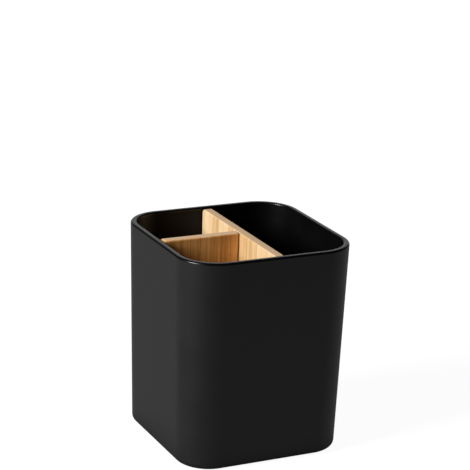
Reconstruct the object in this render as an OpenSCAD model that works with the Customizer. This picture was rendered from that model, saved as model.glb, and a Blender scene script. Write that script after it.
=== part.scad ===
// Square tumbler for a wash basin, with a lift-out T-shaped wooden divider.
// The origin is at the middle of the footprint, on the surface that the feet stand on, with the front towards -Y.

/* [Cup] */
// Width of the cup across its flat sides, at the rim
rim_w = 90; // [78:0.5:120]
// Height of the cup from its underside to its rim
cup_h = 105.5; // [80:0.5:140]
// Radius of the four upright corners, at the rim
corner_r = 19.5; // [15:0.5:25]
// Slope of all the walls from the upright, which frees the cup from its mould
draft = 1.5; // [0.5:0.1:2]
// Thickness of the walls, measured level
wall_t = 3; // [2.2:0.1:4]
// Thickness of the floor
floor_t = 3; // [2.4:0.1:5]
// Radius of the outer edge round the underside
base_edge_r = 3; // [1:0.1:4.5]
// Radius of the outer edge of the rim
rim_outer_r = 1; // [0.3:0.1:1.1]
// Radius of the inner edge of the rim
rim_inner_r = 0.8; // [0.3:0.1:1]
// Radius of the corner between the walls and the floor, inside
floor_fillet_r = 2.5; // [1:0.1:2.9]

/* [Underside] */
// Diameter of the shallow dish that keeps the middle of the underside off the table
dish_d = 46; // [30:1:50]
// Depth of that dish
dish_depth = 0.6; // [0.2:0.1:1]
// Diameter of the gate mark in the middle of the dish
gate_d = 7; // [4:0.5:12]
// Depth of the gate mark
gate_depth = 0.4; // [0.2:0.1:0.6]

/* [Feet] */
// Diameter of each foot
foot_d = 10; // [7:0.5:12]
// Height of the feet below the underside
foot_proud = 0.8; // [0.4:0.1:1.5]
// Depth of the pocket that each foot is stuck into
foot_pocket_depth = 0.8; // [0.4:0.1:1.2]
// Distance from the flat sides, at the underside, to the middle of a foot
foot_inset = 14.5; // [13:0.5:18]
// Radius of the lower edge of a foot
foot_edge_r = 0.4; // [0.1:0.1:0.4]
// Space all round a foot in its pocket
foot_gap = 0.2; // [0.1:0.05:0.4]

/* [Divider] */
// Thickness of both panels
panel_t = 5; // [4:0.1:7]
// Radius of the upper corners of both panels, beside the walls
panel_corner_r = 2; // [1.5:0.5:8]
// Radius of all the long edges of both panels
panel_arris_r = 0.8; // [0.3:0.1:1.5]
// Distance from the rim down to the top of the panels
panel_below_rim = 0.5; // [0:0.1:12]
// Space between the ends of the panels and the walls
panel_gap = 0.5; // [0.2:0.1:1.5]
// Place of the middle of the long panel, to the right of the middle of the cup
long_panel_x = 1.8; // [-8:0.1:8]
// Place of the middle of the short panel, behind the middle of the cup
short_panel_y = 0; // [-10:0.1:10]

/* [Hidden] */

$fn = 96;
board_fn = 32;
overrun = 1;

cup_colour = "#1d1e1f";
long_panel_colour = "#d9ac74";
short_panel_colour = "#b98148";
foot_colour = "#2b2b2c";

// Levels, counted up from the table
base_z = foot_proud;
floor_z = base_z + floor_t;
rim_z = base_z + cup_h;
panel_top_z = rim_z - panel_below_rim;

// The axes of the four upright corners stand at this distance from the middle, both ways
axis_half = rim_w / 2 - corner_r;

// Distance from a corner's axis out to the outer and to the inner face of the wall, at height z
function outer_u(z) = corner_r - (rim_z - z) * tan(draft);
function inner_u(z) = outer_u(z) - wall_t;

// Level distance from the middle of a radius r to the sloping face that it runs into
function face_to_centre(r) = r / cos(draft);

// Where a radius r about the point c runs into a sloping face: side is 1 for a face outside c, -1 inside
function tangent_point(c, r, side) = c + side * r * [cos(draft), -sin(draft)];

// Middles of the four edge radii of the cup's wall, as [distance from the corner's axis, height]
base_edge_c = [
    outer_u(base_z + base_edge_r) - face_to_centre(base_edge_r),
    base_z + base_edge_r
];
rim_outer_c = [
    outer_u(rim_z - rim_outer_r) - face_to_centre(rim_outer_r),
    rim_z - rim_outer_r
];
rim_inner_c = [
    inner_u(rim_z - rim_inner_r) + face_to_centre(rim_inner_r),
    rim_z - rim_inner_r
];
floor_fillet_c = [
    inner_u(floor_z + floor_fillet_r) - face_to_centre(floor_fillet_r),
    floor_z + floor_fillet_r
];

// Feet, at the four corners of a square
foot_half = axis_half + outer_u(base_z) - foot_inset;
foot_h = foot_proud + foot_pocket_depth;

// Space that the panels stand in, from the middle of the cup out to the end of a panel at height z
function panel_reach(z) = axis_half + inner_u(z) - panel_gap;

// Radius of the lower corners of the panels, which clears the fillet round the floor
panel_foot_r = floor_fillet_r + panel_gap;

// A corner of a panel's tapered end, as [distance from the middle of the cup, height, radius]
function tapered_corner(z, r) = [panel_reach(z) - face_to_centre(r), z, r];
low_corner = tapered_corner(floor_z + panel_foot_r, panel_foot_r);
high_corner = tapered_corner(panel_top_z - panel_corner_r, panel_corner_r);

// A corner of the short panel's upright end, which is glued flat to the side of the long panel
long_panel_left_x = long_panel_x - panel_t / 2;
function upright_corner(z) = [long_panel_left_x - panel_arris_r, z, panel_arris_r];

// The same corner at the other end
function opposite(corner) = [-corner[0], corner[1], corner[2]];

// Everything that the outer face of the cup encloses, from a corner's axis outwards
module outer_section() {
    polygon([
        [0, base_z],
        [base_edge_c.x, base_z],
        base_edge_c,
        tangent_point(base_edge_c, base_edge_r, 1),
        tangent_point(rim_outer_c, rim_outer_r, 1),
        rim_outer_c,
        [rim_outer_c.x, rim_z],
        [0, rim_z]
    ]);
    translate(base_edge_c) circle(base_edge_r);
    translate(rim_outer_c) circle(rim_outer_r);
}

// The hollow of the cup, from a corner's axis outwards, opening out over the inner edge of the rim
module hollow_section() {
    difference() {
        polygon([
            [0, floor_z],
            [floor_fillet_c.x, floor_z],
            floor_fillet_c,
            tangent_point(floor_fillet_c, floor_fillet_r, 1),
            tangent_point(rim_inner_c, rim_inner_r, -1),
            rim_inner_c,
            [rim_inner_c.x, rim_z + overrun],
            [0, rim_z + overrun]
        ]);
        translate(rim_inner_c) circle(rim_inner_r);
    }
    translate(floor_fillet_c) circle(floor_fillet_r);
}

// A section taken round the square of corner axes: turned at each corner, straight along each side, solid inside
module round_the_square(low_z, high_z) {
    for (side = [0:3])
        rotate([0, 0, 90 * side]) {
            translate([axis_half, axis_half, 0])
                rotate_extrude(angle = 90)
                    children();
            translate([axis_half, axis_half, 0])
                rotate([90, 0, 0])
                    linear_extrude(2 * axis_half)
                        children();
        }
    translate([-axis_half, -axis_half, low_z])
        cube([2 * axis_half, 2 * axis_half, high_z - low_z]);
}

// The four places of the feet, in the order that NODES gives them
module at_foot(index) {
    rotate([0, 0, 90 * index])
        translate([-foot_half, -foot_half, 0])
            children();
}

module cup() {
    color(cup_colour)
        difference() {
            round_the_square(base_z, rim_z)
                outer_section();
            round_the_square(floor_z, rim_z + overrun)
                hollow_section();
            translate([0, 0, base_z - overrun])
                cylinder(h = overrun + dish_depth, d = dish_d);
            translate([0, 0, base_z])
                cylinder(h = dish_depth + gate_depth, d = gate_d);
            for (index = [0:3])
                at_foot(index)
                    translate([0, 0, base_z - overrun])
                        cylinder(h = overrun + foot_pocket_depth, d = foot_d + 2 * foot_gap);
        }
}

// Half of a panel's thickness profile: from the middle of a corner radius r out to the edge, both arrises rounded
module panel_edge_section(r) {
    intersection() {
        hull()
            for (u = [0, r - panel_arris_r], face = [-1, 1])
                translate([u, face * (panel_t / 2 - panel_arris_r)])
                    circle(panel_arris_r);
        translate([0, -panel_t / 2])
            square([r, panel_t]);
    }
}

// A flat board between the given corners, with its arrises rounded all the way round
module board(corners) {
    hull()
        for (corner = corners)
            translate([corner[0], corner[1], 0])
                rotate_extrude($fn = board_fn)
                    panel_edge_section(corner[2]);
}

// Runs from the front wall to the rear wall
module long_panel() {
    color(long_panel_colour)
        translate([long_panel_x, 0, 0])
            rotate([90, 0, 90])
                board([
                    opposite(low_corner),
                    low_corner,
                    high_corner,
                    opposite(high_corner)
                ]);
}

// Runs from the left wall to the side of the long panel
module short_panel() {
    color(short_panel_colour)
        translate([0, short_panel_y, 0])
            rotate([90, 0, 0])
                board([
                    opposite(low_corner),
                    upright_corner(floor_z + panel_arris_r),
                    upright_corner(panel_top_z - panel_arris_r),
                    opposite(high_corner)
                ]);
}

// A round pad with a softened lower edge
module foot(index) {
    foot_r = foot_d / 2;
    color(foot_colour)
        at_foot(index)
            rotate_extrude() {
                translate([0, foot_edge_r])
                    square([foot_r, foot_h - foot_edge_r]);
                square([foot_r - foot_edge_r, foot_h]);
                translate([foot_r - foot_edge_r, foot_edge_r])
                    circle(foot_edge_r);
            }
}

cup();
long_panel();
short_panel();
foot(0);  // foot_front_left
foot(1);  // foot_front_right
foot(2);  // foot_rear_right
foot(3);  // foot_rear_left
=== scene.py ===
import math

import bmesh
import bpy
from mathutils import Matrix, Vector


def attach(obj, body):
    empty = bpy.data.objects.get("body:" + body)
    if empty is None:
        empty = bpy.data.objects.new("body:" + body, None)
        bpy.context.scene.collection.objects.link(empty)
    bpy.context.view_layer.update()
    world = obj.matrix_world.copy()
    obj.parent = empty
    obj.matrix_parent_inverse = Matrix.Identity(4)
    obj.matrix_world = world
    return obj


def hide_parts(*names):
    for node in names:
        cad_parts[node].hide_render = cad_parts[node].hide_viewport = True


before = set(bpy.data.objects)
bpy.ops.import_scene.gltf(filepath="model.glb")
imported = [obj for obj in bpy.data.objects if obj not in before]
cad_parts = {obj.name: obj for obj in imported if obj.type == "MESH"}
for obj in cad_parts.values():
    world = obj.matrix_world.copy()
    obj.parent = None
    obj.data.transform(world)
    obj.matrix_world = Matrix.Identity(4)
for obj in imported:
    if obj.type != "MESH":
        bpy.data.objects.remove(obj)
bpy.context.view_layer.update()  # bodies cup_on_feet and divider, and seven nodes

print("frame loaded")

mm = 0.001  # sizes below are in millimetres and angles in degrees


def srgb(hexColour):
    # an sRGB hex colour as the linear colour that shaders work with
    channels = [int(hexColour[i:i + 2], 16) / 255 for i in (1, 3, 5)]
    return [c / 12.92 if c <= 0.04045 else ((c + 0.055) / 1.055) ** 2.4 for c in channels] + [1.0]


def addNode(tree, kind, inputs=None, ramp=None, **settings):
    # an input is a value, or the output that feeds it; a ramp is a list of places and hex colours
    node = tree.nodes.new(kind)
    for name, value in settings.items():
        setattr(node, name, value)
    for key, value in (inputs or {}).items():
        if isinstance(value, bpy.types.NodeSocket):
            tree.links.new(value, node.inputs[key])
        else:
            node.inputs[key].default_value = value
    if ramp:
        stops = node.color_ramp.elements
        while len(stops) < len(ramp):
            stops.new(1.0)
        for stop, (place, colour) in zip(stops, ramp):
            stop.position = place
            stop.color = srgb(colour)
    return node


def newMaterial(name):
    material = bpy.data.materials.new(name)
    material.use_nodes = True
    material.node_tree.nodes.clear()
    return material, material.node_tree


# Camera, solved from the rim's and the base's outline in the photograph
cameraSetup = {
    "azimuth": -26.176,
    "elevation": 17.379,
    "roll": 2.117,
    "distance": 930.2,
    "aimHeight": 104.0,
    "aimRight": -1.83,  # the frame's middle, to the right of the cup's middle
    "lens": 145.73,
    "sensor": 36,
    "clipStart": 20,
}


def placeCamera(s):
    turn, rise, roll = (math.radians(s[k]) for k in ("azimuth", "elevation", "roll"))
    back = Vector((math.sin(turn) * math.cos(rise), -math.cos(turn) * math.cos(rise), math.sin(rise)))
    right = Vector((math.cos(turn), math.sin(turn), 0))
    up = back.cross(right)
    across = math.cos(roll) * right + math.sin(roll) * up
    upright = math.cos(roll) * up - math.sin(roll) * right
    aim = (right * s["aimRight"] + Vector((0, 0, s["aimHeight"]))) * mm
    eye = aim + back * s["distance"] * mm
    camera = bpy.data.objects.new("camera", bpy.data.cameras.new("camera"))
    camera.data.lens = s["lens"]
    camera.data.sensor_width = s["sensor"]
    camera.data.clip_start = s["clipStart"] * mm
    camera.matrix_world = Matrix.Translation(eye) @ Matrix((across, upright, back)).transposed().to_4x4()
    bpy.context.scene.collection.objects.link(camera)
    bpy.context.scene.camera = camera


placeCamera(cameraSetup)
print("camera placed")


# White studio: the camera sees white all round, and polish sees a pale floor and a bright wall behind
studio = {
    "lightingShare": 0.025,  # of the white, what lights matt surfaces
    "wallInPolish": (0.02, 0.95),  # how bright polish sees the room in front and overhead, and that wall
    "falloff": 8,  # how fast the wall fades from behind round to the sides
    "floorInPolish": (0.18, 0.24),  # how bright polish sees the floor in front, and from the object back
    "floorFade": 350,  # how far in front of the object it is down to the first of these
    "cornersAt": 25.5,  # the axes of the cup's corners, from the middle both ways
    "floorShade": (14, 29),  # a painted shadow: polish sees no floor nearer those axes than this, and all of it past this
    "floorHalfSize": 6000,
    "floorColour": "#d0d0d0",
    "floorGlow": (0.96, 1.0),  # how white it is near the object, where the shadow falls, and far off
    "glowReach": (120, 700),  # how near and how far that is
    "floorShadow": 0.15,  # how much of the lamp's light the floor gives back, so that it can show the shadow
}


def behind(tree, place):
    # how far place lies straight behind the object, as the camera stands in the photograph
    turn = math.radians(cameraSetup["azimuth"])
    return addNode(tree, "ShaderNodeVectorMath", {0: place, 1: (-math.sin(turn), math.cos(turn), 0)},
                   operation="DOT_PRODUCT").outputs["Value"]


def wallInPolish(tree, place, s):
    # how bright polish sees the room, from the object along place
    towards = addNode(tree, "ShaderNodeVectorMath", {0: place}, operation="NORMALIZE")
    ahead = addNode(tree, "ShaderNodeMath", {0: behind(tree, towards.outputs[0]), 1: 0.0},
                    operation="MAXIMUM")
    faded = addNode(tree, "ShaderNodeMath", {0: ahead.outputs[0], 1: s["falloff"]}, operation="POWER")
    return addNode(tree, "ShaderNodeMapRange", {"Value": faded.outputs[0],
                                                "To Min": s["wallInPolish"][0],
                                                "To Max": s["wallInPolish"][1]}).outputs[0]


def floorInPolish(tree, place, s):
    # how bright polish sees the floor at place: paler from the object back, and dark under the cup, a painted
    # shadow
    pale = addNode(tree, "ShaderNodeMapRange", {"Value": behind(tree, place),
                                                "From Min": -s["floorFade"] * mm, "From Max": 0.0,
                                                "To Min": s["floorInPolish"][0],
                                                "To Max": s["floorInPolish"][1]})
    out = addNode(tree, "ShaderNodeVectorMath", {0: place}, operation="ABSOLUTE")
    for operation, amount in (("SUBTRACT", s["cornersAt"] * mm), ("MAXIMUM", 0.0)):
        out = addNode(tree, "ShaderNodeVectorMath", {0: out.outputs[0], 1: [amount] * 3},
                      operation=operation)
    out = addNode(tree, "ShaderNodeVectorMath", {0: out.outputs[0]}, operation="LENGTH")
    return addNode(tree, "ShaderNodeMapRange", {"Value": out.outputs["Value"],
                                                "From Min": s["floorShade"][0] * mm,
                                                "From Max": s["floorShade"][1] * mm,
                                                "To Min": 0.0, "To Max": pale.outputs[0]}).outputs[0]


def lightWorld(s):
    world = bpy.data.worlds.new("studio")
    world.use_nodes = True
    tree = world.node_tree
    tree.nodes.clear()
    path = addNode(tree, "ShaderNodeLightPath")
    seen = addNode(tree, "ShaderNodeMath", {0: path.outputs["Is Camera Ray"],
                                            1: path.outputs["Is Transmission Ray"]},
                   operation="ADD", use_clamp=True)
    place = addNode(tree, "ShaderNodeTexCoord")
    share = addNode(tree, "ShaderNodeMix", {0: path.outputs["Is Glossy Ray"], 2: s["lightingShare"],
                                            3: wallInPolish(tree, place.outputs["Generated"], s)},
                    data_type="FLOAT")
    strength = addNode(tree, "ShaderNodeMix", {0: seen.outputs[0], 2: share.outputs[0], 3: 1.0},
                       data_type="FLOAT")
    light = addNode(tree, "ShaderNodeBackground", {"Color": srgb("#ffffff"),
                                                   "Strength": strength.outputs[0]})
    addNode(tree, "ShaderNodeOutputWorld", {"Surface": light.outputs[0]})
    world.cycles.sampling_method = "NONE"  # a sampled light would pass by the kinds of ray above
    bpy.context.scene.world = world


def layFloor(s):
    material, tree = newMaterial("paleStudioFloor")
    path = addNode(tree, "ShaderNodeLightPath")
    place = addNode(tree, "ShaderNodeTexCoord").outputs["Object"]
    away = addNode(tree, "ShaderNodeVectorMath", {0: place}, operation="LENGTH")
    white = addNode(tree, "ShaderNodeMapRange", {"Value": away.outputs["Value"],
                                                 "From Min": s["glowReach"][0] * mm,
                                                 "From Max": s["glowReach"][1] * mm,
                                                 "To Min": s["floorGlow"][0],
                                                 "To Max": s["floorGlow"][1]})
    glow = addNode(tree, "ShaderNodeMix", {0: path.outputs["Is Glossy Ray"], 2: white.outputs[0],
                                           3: floorInPolish(tree, place, s)}, data_type="FLOAT")
    shadow = addNode(tree, "ShaderNodeBsdfDiffuse", {"Color": [s["floorShadow"]] * 3 + [1.0]})
    lit = addNode(tree, "ShaderNodeEmission", {"Strength": glow.outputs[0]})
    seen = addNode(tree, "ShaderNodeAddShader", {0: shadow.outputs[0], 1: lit.outputs[0]})
    pale = addNode(tree, "ShaderNodeBsdfDiffuse", {"Color": srgb(s["floorColour"])})
    # matt surfaces are lit by the pale floor itself, and every other ray sees the white one
    either = addNode(tree, "ShaderNodeMixShader", {0: path.outputs["Is Diffuse Ray"],
                                                   1: seen.outputs[0], 2: pale.outputs[0]})
    # from below the floor is clear, so that the underside shows
    side = addNode(tree, "ShaderNodeNewGeometry")
    clear = addNode(tree, "ShaderNodeBsdfTransparent")
    above = addNode(tree, "ShaderNodeMixShader", {0: side.outputs["Backfacing"], 1: either.outputs[0],
                                                  2: clear.outputs[0]})
    addNode(tree, "ShaderNodeOutputMaterial", {"Surface": above.outputs[0]})
    material.cycles.emission_sampling = "NONE"
    half = s["floorHalfSize"] * mm
    mesh = bpy.data.meshes.new("floor")
    mesh.from_pydata([(-half, -half, 0), (half, -half, 0), (half, half, 0), (-half, half, 0)], [],
                     [(0, 1, 2, 3)])
    mesh.materials.append(material)
    floor = bpy.data.objects.new("floor", mesh)
    bpy.context.scene.collection.objects.link(floor)


# Lamps, aimed a little below the rim; power in watts
lamps = {
    "keySoftbox": {"azimuth": 185.5, "elevation": 24, "distance": 2400, "aimHeight": 90,
                   "size": 860, "power": 88},
}


def hangLamps(setups):
    for name, s in setups.items():
        turn, rise = math.radians(s["azimuth"]), math.radians(s["elevation"])
        toLamp = Vector((math.cos(turn) * math.cos(rise), math.sin(turn) * math.cos(rise),
                         math.sin(rise)))
        lamp = bpy.data.lights.new(name, "AREA")
        lamp.energy = s["power"]
        lamp.size = s["size"] * mm
        hung = bpy.data.objects.new(name, lamp)
        hung.location = Vector((0, 0, s["aimHeight"] * mm)) + toLamp * s["distance"] * mm
        hung.rotation_euler = toLamp.to_track_quat("Z", "Y").to_euler()
        bpy.context.scene.collection.objects.link(hung)


lightWorld(studio)
layFloor(studio)
hangLamps(lamps)
bpy.context.scene.view_settings.view_transform = "Standard"
print("studio lit")


# ABS, injection moulded and then sprayed outside with a soft-touch coat: near black with hardly a shine
# face on, and a grey veil at a slant. The coat leaves the plastic bare, black and glossy on the polished
# rim, and satin inside. Haze is the length over which the roughness varies, and relief that of the bumps.
plastics = {
    "softTouchCoatedAbs": {
        "colour": "#0b0b0c",
        "fadedColour": "#0f0f10",
        "fades": (0.35, 0.7),  # values of the haze at which it has these two colours
        "haze": 14,
        "hazeDetail": 3.0,
        "roughness": (0.415, 0.435),
        "specular": 0.4,
        "relief": 0.45,  # the sprayed coat's real grain is about 0.1, too fine to show
        "reliefDetail": 2.0,
        "reliefDepth": 0.006,
    },
    "polishedAbs": {
        "colour": "#050506",
        "haze": 22,
        "hazeDetail": 4.0,
        "roughness": (0.24, 0.3),
        "specular": 0.3,
        "relief": 3.5,  # slow waves left by the moulding, as on any polished plastic
        "reliefDetail": 1.0,
        "reliefDepth": 0.0006,
    },
    "satinAbs": {
        "colour": "#060607",
        "haze": 18,
        "hazeDetail": 4.0,
        "roughness": (0.34, 0.43),
        "specular": 0.15,
        "relief": 2.2,
        "reliefDetail": 1.0,
        "reliefDepth": 0.005,
    },
}
hazeSpread = (0.35, 0.65)  # nearly all values of the haze lie between these


def mouldedPlastic(name, s):
    material, tree = newMaterial(name)
    place = addNode(tree, "ShaderNodeTexCoord")
    haze, relief = (addNode(tree, "ShaderNodeTexNoise", {"Vector": place.outputs["Object"],
                                                         "Scale": 1 / (s[key] * mm),
                                                         "Detail": s[key + "Detail"]}).outputs[0]
                    for key in ("haze", "relief"))
    colour = srgb(s["colour"])
    if "fadedColour" in s:
        ramp = list(zip(s["fades"], (s["colour"], s["fadedColour"])))
        colour = addNode(tree, "ShaderNodeValToRGB", {0: haze}, ramp=ramp).outputs[0]
    rough = addNode(tree, "ShaderNodeMapRange", {"Value": haze, "From Min": hazeSpread[0],
                                                 "From Max": hazeSpread[1],
                                                 "To Min": s["roughness"][0],
                                                 "To Max": s["roughness"][1]})
    bump = addNode(tree, "ShaderNodeBump", {"Height": relief, "Strength": 1.0,
                                            "Distance": s["reliefDepth"] * mm})
    shader = addNode(tree, "ShaderNodeBsdfPrincipled", {"Base Color": colour,
                                                        "Roughness": rough.outputs[0],
                                                        "Specular IOR Level": s["specular"],
                                                        "Normal": bump.outputs[0]})
    addNode(tree, "ShaderNodeOutputMaterial", {"Surface": shader.outputs[0]})
    return material


# The cup: one wall section swept round a rounded square, as in the CAD
cup = {
    "rimWidth": 90,
    "height": 105.5,
    "standsAt": 0.8,  # the underside, above the table
    "cornerRadius": 19.5,
    "draft": 1.5,
    "wall": 3,
    "floor": 3,
    "baseEdgeRadius": 3,
    "rimOuterRadius": 1,
    "rimInnerRadius": 0.8,
    "floorFilletRadius": 2.5,
    "dishWidth": 46,
    "dishDepth": 0.6,
    "gateWidth": 7,
    "gateDepth": 0.4,
    "pocketWidth": 10.4,
    "pocketDepth": 0.8,
    "pocketInset": 14.5,
    # how finely it is drawn: steps of each edge radius, up each face and round the cup, and sides of the cuts
    "arcSteps": {"baseEdgeRadius": 10, "rimOuterRadius": 8, "rimInnerRadius": 7, "floorFilletRadius": 8},
    "stepsUp": 9,
    "stepsRound": 256,
    "cornerPoints": 48,
    "dishSides": 128,
    "gateSides": 48,
    "pocketSides": 64,
    "sweptFrom": 8,  # the section starts and ends this far out from a corner's axis
    "hold": 0.4,  # a point this close to each end of a straight keeps it flat in the shading
    "rimHold": 0.15,
    "mergeWithin": 0.001,
    "creaseAngle": 30,
}


def arc(middle, radius, start, end, steps):
    turns = [math.radians(start + (end - start) * i / steps) for i in range(steps + 1)]
    return [(middle[0] + radius * math.cos(t), middle[1] + radius * math.sin(t)) for t in turns]


def run(start, end, steps, hold):
    # points on the straight between two arcs, the first and the last a short way in from its ends
    start, end = Vector(start), Vector(end)
    along = (end - start).normalized() * hold
    near, far = start + along, end - along
    return [tuple(near.lerp(far, i / steps)) for i in range(steps + 1)]


def wallSection(s):
    # distance out from a corner's axis and height: the underside, up the outside, over the rim, down inside
    rim = s["standsAt"] + s["height"]
    floorTop = s["standsAt"] + s["floor"]
    draft, wall, hold = s["draft"], s["wall"], s["hold"]
    slope = math.tan(math.radians(draft))
    spread = 1 / math.cos(math.radians(draft))

    def rounded(edge, z, inwards, side, start, end):
        # an edge radius with its middle at height z, outside (1) or inside (-1) the face that it runs into,
        # which is the outer face moved inwards
        r = s[edge]
        face = s["cornerRadius"] - (rim - z) * slope - inwards
        return arc((face + side * r * spread, z), r, start, end, s["arcSteps"][edge])

    base = rounded("baseEdgeRadius", s["standsAt"] + s["baseEdgeRadius"], 0, -1, -90, -draft)
    over = rounded("rimOuterRadius", rim - s["rimOuterRadius"], 0, -1, -draft, 90)
    into = rounded("rimInnerRadius", rim - s["rimInnerRadius"], wall, 1, 90, 180 - draft)
    fillet = rounded("floorFilletRadius", floorTop + s["floorFilletRadius"], wall, -1, -draft, -90)
    first, last = (s["sweptFrom"], s["standsAt"]), (s["sweptFrom"], floorTop)
    under = [first] + run(first, base[0], 1, hold)[1:]
    outside = run(base[-1], over[0], s["stepsUp"], hold)
    top = run(over[-1], into[0], 1, s["rimHold"])
    inside = run(into[-1], fillet[0], s["stepsUp"], hold)
    back = run(fillet[-1], last, 1, hold)[:1] + [last]
    return under + base + outside, over + top + into, inside + fillet + back


def sweepTree(s, coat, polished, satin):
    # sweeps the section round the outline, closes both ends, then cuts the moulded hollows of the underside
    tree = bpy.data.node_groups.new("cupSweep", "GeometryNodeTree")
    tree.interface.new_socket("Section", in_out="INPUT", socket_type="NodeSocketGeometry")
    for name in ("Outline width", "Corner radius", "Underside height", "Dish width", "Dish depth",
                 "Gate width", "Gate depth", "Pocket width", "Pocket depth", "Pocket spacing",
                 "Crease angle"):
        tree.interface.new_socket(name, in_out="INPUT", socket_type="NodeSocketFloat")
    tree.interface.new_socket("Steps round", in_out="INPUT", socket_type="NodeSocketInt")
    tree.interface.new_socket("Shell", in_out="OUTPUT", socket_type="NodeSocketGeometry")
    given = addNode(tree, "NodeGroupInput").outputs

    outline = addNode(tree, "GeometryNodeCurvePrimitiveQuadrilateral",
                      {"Width": given["Outline width"], "Height": given["Outline width"]})
    rounded = addNode(tree, "GeometryNodeFilletCurve", {"Curve": outline.outputs[0],
                                                        "Count": s["cornerPoints"],
                                                        "Radius": given["Corner radius"]}, mode="POLY")
    path = addNode(tree, "GeometryNodeResampleCurve", {"Curve": rounded.outputs[0],
                                                       "Count": given["Steps round"]})
    section = addNode(tree, "GeometryNodeMeshToCurve", {"Mesh": given["Section"]})
    wall = addNode(tree, "GeometryNodeCurveToMesh", {"Curve": path.outputs[0],
                                                     "Profile Curve": section.outputs[0]})

    # the two open ends are drawn in to the middle: the underside, and the floor inside
    faces = addNode(tree, "GeometryNodeInputMeshEdgeNeighbors")
    openEdge = addNode(tree, "FunctionNodeCompare", {"A": faces.outputs[0], "B": 1}, data_type="INT",
                       operation="EQUAL")
    drawn = addNode(tree, "GeometryNodeExtrudeMesh", {"Mesh": wall.outputs[0],
                                                      "Selection": openEdge.outputs[0],
                                                      "Offset Scale": 0.0}, mode="EDGES")
    place = addNode(tree, "GeometryNodeInputPosition")
    height = addNode(tree, "ShaderNodeSeparateXYZ", {0: place.outputs[0]})
    middle = addNode(tree, "ShaderNodeCombineXYZ", {"Z": height.outputs["Z"]})
    closed = addNode(tree, "GeometryNodeSetPosition", {"Geometry": drawn.outputs["Mesh"],
                                                       "Selection": drawn.outputs["Top"],
                                                       "Position": middle.outputs[0]})
    whole = addNode(tree, "GeometryNodeMergeByDistance", {"Geometry": closed.outputs[0],
                                                          "Distance": s["mergeWithin"] * mm})
    # the finish is put on before the cuts, which keep materials but no attributes
    marked = addNode(tree, "GeometryNodeSetMaterial", {"Geometry": whole.outputs[0], "Material": coat})
    for name, material in (("past the coat", polished), ("past the rim", satin)):
        past = addNode(tree, "GeometryNodeInputNamedAttribute", {"Name": name}, data_type="BOOLEAN")
        marked = addNode(tree, "GeometryNodeSetMaterial", {"Geometry": marked.outputs[0],
                                                           "Material": material,
                                                           "Selection": past.outputs[0]})

    # a cutter stands half above and half below the underside, so it is twice as deep as what it cuts
    cutters = []
    spacing = addNode(tree, "GeometryNodeMeshGrid", {"Size X": given["Pocket spacing"],
                                                     "Size Y": given["Pocket spacing"],
                                                     "Vertices X": 2, "Vertices Y": 2})
    level = addNode(tree, "ShaderNodeCombineXYZ", {"Z": given["Underside height"]})
    gateDepth = addNode(tree, "ShaderNodeMath", {0: given["Dish depth"], 1: given["Gate depth"]})
    for width, depth, sides in (("Dish width", given["Dish depth"], s["dishSides"]),
                                ("Gate width", gateDepth.outputs[0], s["gateSides"]),
                                ("Pocket width", given["Pocket depth"], s["pocketSides"])):
        radius = addNode(tree, "ShaderNodeMath", {0: given[width], 1: 0.5}, operation="MULTIPLY")
        twice = addNode(tree, "ShaderNodeMath", {0: depth, 1: 2.0}, operation="MULTIPLY")
        cutter = addNode(tree, "GeometryNodeMeshCylinder", {"Vertices": sides,
                                                            "Radius": radius.outputs[0],
                                                            "Depth": twice.outputs[0]})
        if width == "Pocket width":
            cutter = addNode(tree, "GeometryNodeInstanceOnPoints", {"Points": spacing.outputs[0],
                                                                    "Instance": cutter.outputs[0]})
            cutter = addNode(tree, "GeometryNodeRealizeInstances", {0: cutter.outputs[0]})
        cutter = addNode(tree, "GeometryNodeSetMaterial", {"Geometry": cutter.outputs[0],
                                                           "Material": coat})
        cutters.append(addNode(tree, "GeometryNodeTransform", {"Geometry": cutter.outputs[0],
                                                               "Translation": level.outputs[0]}))
    cut = addNode(tree, "GeometryNodeMeshBoolean", {"Mesh 1": marked.outputs[0]}, solver="EXACT")
    for cutter in cutters:
        tree.links.new(cutter.outputs[0], cut.inputs["Mesh 2"])

    smooth = addNode(tree, "GeometryNodeSetShadeSmooth", {"Geometry": cut.outputs[0]}, domain="FACE")
    angle = addNode(tree, "GeometryNodeInputMeshEdgeAngle")
    crease = addNode(tree, "FunctionNodeCompare", {0: angle.outputs["Unsigned Angle"],
                                                   1: given["Crease angle"]}, operation="GREATER_THAN")
    creased = addNode(tree, "GeometryNodeSetShadeSmooth", {"Geometry": smooth.outputs[0],
                                                           "Selection": crease.outputs[0],
                                                           "Shade Smooth": False}, domain="EDGE")
    real = addNode(tree, "GeometryNodeRealizeInstances", {0: creased.outputs[0]})
    rim = addNode(tree, "GeometryNodeMaterialSelection", {"Material": polished})
    finished = addNode(tree, "GeometryNodeSetMaterial", {"Geometry": real.outputs[0],
                                                         "Selection": rim.outputs[0],
                                                         "Material": polished})
    addNode(tree, "NodeGroupOutput", {0: finished.outputs[0]})
    return tree


def plainMesh(host, name):
    # the evaluated object as a plain mesh on a new object, and the host thrown away
    bpy.context.view_layer.update()
    graph = bpy.context.evaluated_depsgraph_get()
    mesh = bpy.data.meshes.new_from_object(host.evaluated_get(graph), preserve_all_data_layers=True,
                                           depsgraph=graph)
    mesh.name = name
    bpy.data.objects.remove(host)
    piece = bpy.data.objects.new(name, mesh)
    bpy.context.scene.collection.objects.link(piece)
    return piece


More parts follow.
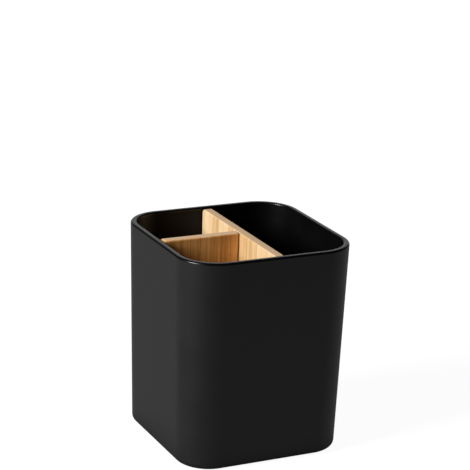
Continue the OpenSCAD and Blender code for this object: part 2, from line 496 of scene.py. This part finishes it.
def buildCup(s):
    coated, rim, inside = wallSection(s)
    # the sweep lays the section's x outwards from the outline and its y downwards
    points = [((u - s["cornerRadius"]) * mm, -z * mm, 0) for u, z in coated + rim + inside]
    mesh = bpy.data.meshes.new("cupSection")
    mesh.from_pydata(points, [(i, i + 1) for i in range(len(points) - 1)], [])
    for name, reached in (("past the coat", len(coated)), ("past the rim", len(coated + rim))):
        past = mesh.attributes.new(name, "BOOLEAN", "POINT")
        past.data.foreach_set("value", [i >= reached for i in range(len(points))])
    host = bpy.data.objects.new("cupSection", mesh)
    bpy.context.scene.collection.objects.link(host)
    tree = sweepTree(s, *(mouldedPlastic(*finish) for finish in plastics.items()))
    sweep = host.modifiers.new("sweep", "NODES")
    sweep.node_group = tree
    slope = math.tan(math.radians(s["draft"]))
    values = {
        "Outline width": s["rimWidth"] * mm,
        "Corner radius": s["cornerRadius"] * mm,
        "Steps round": s["stepsRound"],
        "Underside height": s["standsAt"] * mm,
        "Dish width": s["dishWidth"] * mm,
        "Dish depth": s["dishDepth"] * mm,
        "Gate width": s["gateWidth"] * mm,
        "Gate depth": s["gateDepth"] * mm,
        "Pocket width": s["pocketWidth"] * mm,
        "Pocket depth": s["pocketDepth"] * mm,
        "Pocket spacing": (s["rimWidth"] - 2 * (s["height"] * slope + s["pocketInset"])) * mm,
        "Crease angle": math.radians(s["creaseAngle"]),
    }
    for socket in tree.interface.items_tree:
        if socket.name in values:
            sweep[socket.identifier] = values[socket.name]
    shell = plainMesh(host, "cupShell")
    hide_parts("cup")
    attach(shell, "cup_on_feet")
    print("cup swept,", len(shell.data.polygons), "faces")


buildCup(cup)


# Bamboo, laminated on edge from planed strips, sanded and sealed with a thin matt lacquer:
# upright streaks, a tone of its own for each strip, dark fibre ends on the top, a faint silky shine
bamboo = {
    "stripWidth": 5.4,
    "cutFrom": (40, 40, 300),  # each strip is cut from anywhere in a piece of culm of this size
    "streak": (1.1, 70),  # how wide and how long the soft streaks are
    "streakDetail": 3.0,
    "streakSpread": (0.3, 0.7),  # nearly all values of the streaks lie between these
    "fibre": (0.32, 26),
    "fibreDetail": 2.0,
    "toneShares": (0.42, 0.2, 0.26, 0.12),  # of streaks, fibres, the strip's own tone and its paler side
    "toneStops": (0.36, 0.5, 0.64),  # where the tone is dark, mid and light
    "bundle": (0.85, 16),  # dark fibre bundles, dashes on the faces and dots on the ends
    "bundleSize": (0.1, 0.34),  # at the pith side of a strip, and at its skin side, where they crowd
    "bundleEdge": 0.08,
    "bundleShade": 0.4,
    "bundleSinks": 0.5,  # how deep a bundle lies, as a share of the relief of the fibres
    "glueLine": 0.12,
    "glueFade": 0.02,  # as a share of a strip's width
    "glueShade": 0.6,
    "knuckleEvery": 230,  # the culm's joints, at a height of its own in each strip
    "knuckleHeight": 1.6,
    "knuckleShade": 0.55,
    "paintedJointShade": (0.5, 1.0),  # from the glued end, how far the painted shade in the joint is at its darkest, and how far it goes
    "paintedJointShadeStrength": 0.8,
    "paintedJointShadeColour": "#6b3a12",
    "paintedSheenFrom": 105.57,  # the height from which the faces take on the top's paler tone, a painted sheen
    "paintedSheenTo": 105.79,
    "paintedSheenShare": 0.85,
    "roughness": (0.58, 0.7),
    "specular": 0.12,
    "reliefDepth": 0.035,
}

# gluedAt is the x of an end that glue holds, and firstStrip draws the strips' own tones
boardTones = {
    # end is the paler tone of a board's top, a painted sheen
    "long": {"dark": "#c39c69", "mid": "#d6b588", "light": "#e0c299", "bundle": "#a47a48",
             "end": "#eccaa4", "turn": -90, "gluedAt": None, "firstStrip": 0},
    # same bamboo as the long board: the deeper, more orange tones are painted shade and bounce light, and
    # firstStrip picks strips that darken towards the left end, painted shade
    "short": {"dark": "#d2924c", "mid": "#f4b46a", "light": "#fbc67f", "bundle": "#aa6b32",
              "end": "#f8d6b0", "turn": 0, "gluedAt": -0.7, "firstStrip": 5794},
}


def awayFrom(tree, value, place):
    gap = addNode(tree, "ShaderNodeMath", {0: value, 1: place}, operation="SUBTRACT")
    return addNode(tree, "ShaderNodeMath", {0: gap.outputs[0]}, operation="ABSOLUTE").outputs[0]


def boardStrips(tree, s, tone):
    # the place on the board, how far across its strip that is, the strip's own random numbers, and the
    # same place in the piece of culm that the strip is cut from
    place = addNode(tree, "ShaderNodeTexCoord")
    # millimetres: x across the board, y through it, z up
    board = addNode(tree, "ShaderNodeMapping", {"Vector": place.outputs["Object"],
                                                "Scale": [1 / mm] * 3,
                                                "Rotation": (0, 0, math.radians(tone["turn"]))})
    axes = addNode(tree, "ShaderNodeSeparateXYZ", {0: board.outputs[0]}).outputs
    strips = addNode(tree, "ShaderNodeMath", {0: axes["X"], 1: s["stripWidth"]}, operation="DIVIDE")
    number = addNode(tree, "ShaderNodeMath", {0: strips.outputs[0]}, operation="FLOOR")
    number = addNode(tree, "ShaderNodeMath", {0: number.outputs[0], 1: tone["firstStrip"]},
                     operation="ADD")
    within = addNode(tree, "ShaderNodeMath", {0: strips.outputs[0]}, operation="FRACT")
    chance = addNode(tree, "ShaderNodeTexWhiteNoise", {"W": number.outputs[0]}, noise_dimensions="1D")
    lots = addNode(tree, "ShaderNodeSeparateColor", {0: chance.outputs["Color"]}).outputs
    elsewhere = addNode(tree, "ShaderNodeVectorMath", {0: chance.outputs["Color"], 1: s["cutFrom"]},
                        operation="MULTIPLY")
    own = addNode(tree, "ShaderNodeVectorMath", {0: board.outputs[0], 1: elsewhere.outputs[0]},
                  operation="ADD")
    return axes, within.outputs[0], lots, own.outputs[0]


def bambooBoard(name, s, tone):
    material, tree = newMaterial(name)
    axes, within, lots, own = boardStrips(tree, s, tone)

    drawn = {}  # the place for each pattern, scaled so that one of size 1 gets its real width and length
    for key in ("streak", "fibre", "bundle"):
        wide, tall = s[key]
        drawn[key] = addNode(tree, "ShaderNodeVectorMath", {0: own, 1: (1 / wide, 1 / wide, 1 / tall)},
                             operation="MULTIPLY").outputs[0]
    streaks, fibres = (addNode(tree, "ShaderNodeTexNoise", {"Vector": drawn[key], "Scale": 1.0,
                                                            "Detail": s[key + "Detail"]}).outputs[0]
                       for key in ("streak", "fibre"))
    bundles = addNode(tree, "ShaderNodeTexVoronoi", {"Vector": drawn["bundle"], "Scale": 1.0})
    size = addNode(tree, "ShaderNodeMapRange", {"Value": within, "To Min": s["bundleSize"][0],
                                                "To Max": s["bundleSize"][1]})
    inBundle = addNode(tree, "ShaderNodeMath", {0: bundles.outputs["Distance"], 1: size.outputs[0]},
                       operation="SUBTRACT")
    bundle = addNode(tree, "ShaderNodeMapRange", {"Value": inBundle.outputs[0],
                                                  "From Min": -s["bundleEdge"],
                                                  "From Max": s["bundleEdge"],
                                                  "To Min": 1.0, "To Max": 0.0})

    level = 0.0
    for share, source in zip(s["toneShares"], (streaks, fibres, lots["Red"], within)):
        level = addNode(tree, "ShaderNodeMath", {0: source, 1: share, 2: level},
                        operation="MULTIPLY_ADD").outputs[0]
    ramp = list(zip(s["toneStops"], (tone["dark"], tone["mid"], tone["light"])))
    colour = addNode(tree, "ShaderNodeValToRGB", {0: level}, ramp=ramp).outputs[0]

    # what is laid over that tone, in turn: fibre bundles, glue lines between the strips, knuckles across
    # them, painted shade in the joint at the glued end, and a painted sheen on the top, paler than the sides
    dashes = addNode(tree, "ShaderNodeMath", {0: bundle.outputs[0], 1: s["bundleShade"]},
                     operation="MULTIPLY")
    edge = 0.5 - s["glueLine"] / s["stripWidth"]
    glue = addNode(tree, "ShaderNodeMapRange", {"Value": awayFrom(tree, within, 0.5),
                                                "From Min": edge - s["glueFade"], "From Max": 0.5,
                                                "To Max": s["glueShade"]})
    lift = addNode(tree, "ShaderNodeMath", {0: lots["Green"], 1: s["knuckleEvery"], 2: axes["Z"]},
                   operation="MULTIPLY_ADD")
    repeat = addNode(tree, "ShaderNodeMath", {0: lift.outputs[0], 1: s["knuckleEvery"]},
                     operation="MODULO")
    toKnuckle = awayFrom(tree, repeat.outputs[0], s["knuckleEvery"] / 2)
    knuckle = addNode(tree, "ShaderNodeMapRange", {"Value": toKnuckle, "From Min": 0.0,
                                                   "From Max": s["knuckleHeight"],
                                                   "To Min": s["knuckleShade"],
                                                   "To Max": 0.0}, interpolation_type="SMOOTHSTEP")
    laid = [(dashes, tone["bundle"]), (glue, tone["bundle"]), (knuckle, tone["dark"])]
    # painted shade: darker along the glued end, in the corner where the boards meet
    if tone["gluedAt"] is not None:
        paintedJointShade = addNode(tree, "ShaderNodeMapRange", {"Value": awayFrom(tree, axes["X"], tone["gluedAt"]),
                                                    "From Min": s["paintedJointShade"][0], "From Max": s["paintedJointShade"][1],
                                                    "To Min": s["paintedJointShadeStrength"], "To Max": 0.0})
        laid.append((paintedJointShade, s["paintedJointShadeColour"]))
    # painted sheen: the top is paler, as if it shone with the bright wall behind
    pale = addNode(tree, "ShaderNodeMapRange", {"Value": axes["Z"], "From Min": s["paintedSheenFrom"],
                                                "From Max": s["paintedSheenTo"], "To Min": 0.0,
                                                "To Max": s["paintedSheenShare"]})
    laid.append((pale, tone["end"]))
    for shade, over in laid:
        colour = addNode(tree, "ShaderNodeMix", {0: shade.outputs[0], 6: colour, 7: srgb(over)},
                         data_type="RGBA").outputs[2]

    rough = addNode(tree, "ShaderNodeMapRange", {"Value": streaks, "From Min": s["streakSpread"][0],
                                                 "From Max": s["streakSpread"][1],
                                                 "To Min": s["roughness"][0],
                                                 "To Max": s["roughness"][1]})
    relief = addNode(tree, "ShaderNodeMath", {0: bundle.outputs[0], 1: -s["bundleSinks"], 2: fibres},
                     operation="MULTIPLY_ADD")
    bump = addNode(tree, "ShaderNodeBump", {"Height": relief.outputs[0], "Strength": 1.0,
                                            "Distance": s["reliefDepth"] * mm})
    shader = addNode(tree, "ShaderNodeBsdfPrincipled", {"Base Color": colour,
                                                        "Roughness": rough.outputs[0],
                                                        "Specular IOR Level": s["specular"],
                                                        "Normal": bump.outputs[0]})
    addNode(tree, "ShaderNodeOutputMaterial", {"Surface": shader.outputs[0]})
    return material


# The divider: two boards with rounded corners, tapering with the cup, one glued to the side of the other
divider = {
    "thickness": 5,
    "cornerRadius": 2,
    "arris": 0.8,
    "belowRim": 0.5,
    "gap": 0.5,  # between a board's end and the cup's wall
    "longAt": 1.8,  # x of the long board's middle
    "shortAt": 0,  # y of the short board's middle
    "stepsRound": 12,  # round each corner
    "arrisSteps": 5,
    "arrisProfile": 0.5,  # round
    "arrisOver": 60,  # edges that turn by more than this get an arris
    "sharpOver": 40,  # and those that then still turn by more than this are sharp in the shading
    "flatWeight": 100,  # how far the large faces rule the shading
}


def boardBlank(s, corners, turn, shift):
    # an upright board: its corners' arcs joined up, extruded to its thickness, all its arrises rounded
    mesh = bmesh.new()
    outline = []
    for (x, z, r), (start, end) in corners:
        outline += arc((x, z), r, start, end, s["stepsRound"]) if r else [(x, z)]
    low = [mesh.verts.new((x * mm, -s["thickness"] / 2 * mm, z * mm)) for x, z in outline]
    face = mesh.faces.new(low)
    out = bmesh.ops.extrude_face_region(mesh, geom=[face])
    moved = [v for v in out["geom"] if isinstance(v, bmesh.types.BMVert)]
    bmesh.ops.translate(mesh, vec=(0, s["thickness"] * mm, 0), verts=moved)
    bmesh.ops.recalc_face_normals(mesh, faces=mesh.faces)
    turned = math.radians(s["arrisOver"])
    rims = [e for e in mesh.edges if e.is_manifold and e.calc_face_angle() > turned]
    bmesh.ops.bevel(mesh, geom=rims, offset=s["arris"] * mm, segments=s["arrisSteps"],
                    profile=s["arrisProfile"], affect="EDGES", clamp_overlap=False)
    place = Matrix.Translation(Vector(shift) * mm) @ Matrix.Rotation(turn, 4, "Z")
    bmesh.ops.transform(mesh, matrix=place, verts=mesh.verts)
    return mesh


def buildDivider(s):
    rim = cup["standsAt"] + cup["height"]
    lean = cup["draft"]
    slope = math.tan(math.radians(lean))
    bottom, top = cup["standsAt"] + cup["floor"], rim - s["belowRim"]
    endAt = s["longAt"] - s["thickness"] / 2

    def tapered(z, r):
        # where a corner's middle lies, so that its arc runs into the tapered end
        wall = cup["rimWidth"] / 2 - (rim - z) * slope - cup["wall"]
        return wall - s["gap"] - r / math.cos(math.radians(lean))

    foot = cup["floorFilletRadius"] + s["gap"]
    low, high = bottom + foot, top - s["cornerRadius"]
    lowOut, highOut = tapered(low, foot), tapered(high, s["cornerRadius"])
    leftLow = ((-lowOut, low, foot), (180 + lean, 270))
    leftHigh = ((-highOut, high, s["cornerRadius"]), (90, 180 + lean))
    rightLow = ((lowOut, low, foot), (270, 360 - lean))
    rightHigh = ((highOut, high, s["cornerRadius"]), (-lean, 90))
    square = [((endAt, z, 0), (0, 0)) for z in (bottom, top)]

    longMesh = boardBlank(s, [leftLow, rightLow, rightHigh, leftHigh], math.radians(90),
                          (s["longAt"], 0, 0))
    shortMesh = boardBlank(s, [leftLow] + square + [leftHigh], 0, (0, s["shortAt"], 0))
    for name, mesh, node, tone in (("longBoard", longMesh, "long_panel", "long"),
                                   ("shortBoard", shortMesh, "short_panel", "short")):
        host = bpy.data.objects.new(name + "Blank", bpy.data.meshes.new(name + "Blank"))
        mesh.to_mesh(host.data)
        host.data.materials.append(bambooBoard(name + "Bamboo", bamboo, boardTones[tone]))
        bpy.context.scene.collection.objects.link(host)
        host.data.polygons.foreach_set("use_smooth", [True] * len(host.data.polygons))
        host.data.set_sharp_from_angle(angle=math.radians(s["sharpOver"]))
        flat = host.modifiers.new("flat", "WEIGHTED_NORMAL")
        flat.keep_sharp = True
        flat.weight = s["flatWeight"]
        board = plainMesh(host, name)
        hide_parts(node)
        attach(board, "divider")
        print(name, "made,", len(board.data.polygons), "faces")


buildDivider(divider)


# Solid rubber, moulded: dull dark grey with a fine speckle
rubber = {
    "colour": "#242425",
    "dust": "#38383a",
    "dusty": (0.4, 0.75),  # values of the speckle at which it has these two colours
    "roughness": 0.78,
    "speckle": 0.35,
    "speckleDetail": 3.0,
    "speckleDepth": 0.02,
}


def rubberFeet(s):
    material, tree = newMaterial("mouldedRubber")
    place = addNode(tree, "ShaderNodeTexCoord")
    speckle = addNode(tree, "ShaderNodeTexNoise", {"Vector": place.outputs["Object"],
                                                   "Scale": 1 / (s["speckle"] * mm),
                                                   "Detail": s["speckleDetail"]})
    colour = addNode(tree, "ShaderNodeValToRGB", {0: speckle.outputs[0]},
                     ramp=list(zip(s["dusty"], (s["colour"], s["dust"]))))
    bump = addNode(tree, "ShaderNodeBump", {"Height": speckle.outputs[0], "Strength": 1.0,
                                            "Distance": s["speckleDepth"] * mm})
    shader = addNode(tree, "ShaderNodeBsdfPrincipled", {"Base Color": colour.outputs[0],
                                                        "Roughness": s["roughness"],
                                                        "Normal": bump.outputs[0]})
    addNode(tree, "ShaderNodeOutputMaterial", {"Surface": shader.outputs[0]})
    for name in ("foot_front_left", "foot_front_right", "foot_rear_right", "foot_rear_left"):
        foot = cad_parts[name]
        if not foot.material_slots:
            foot.data.materials.append(None)
        foot.material_slots[0].material = material
    print("feet finished")


rubberFeet(rubber)
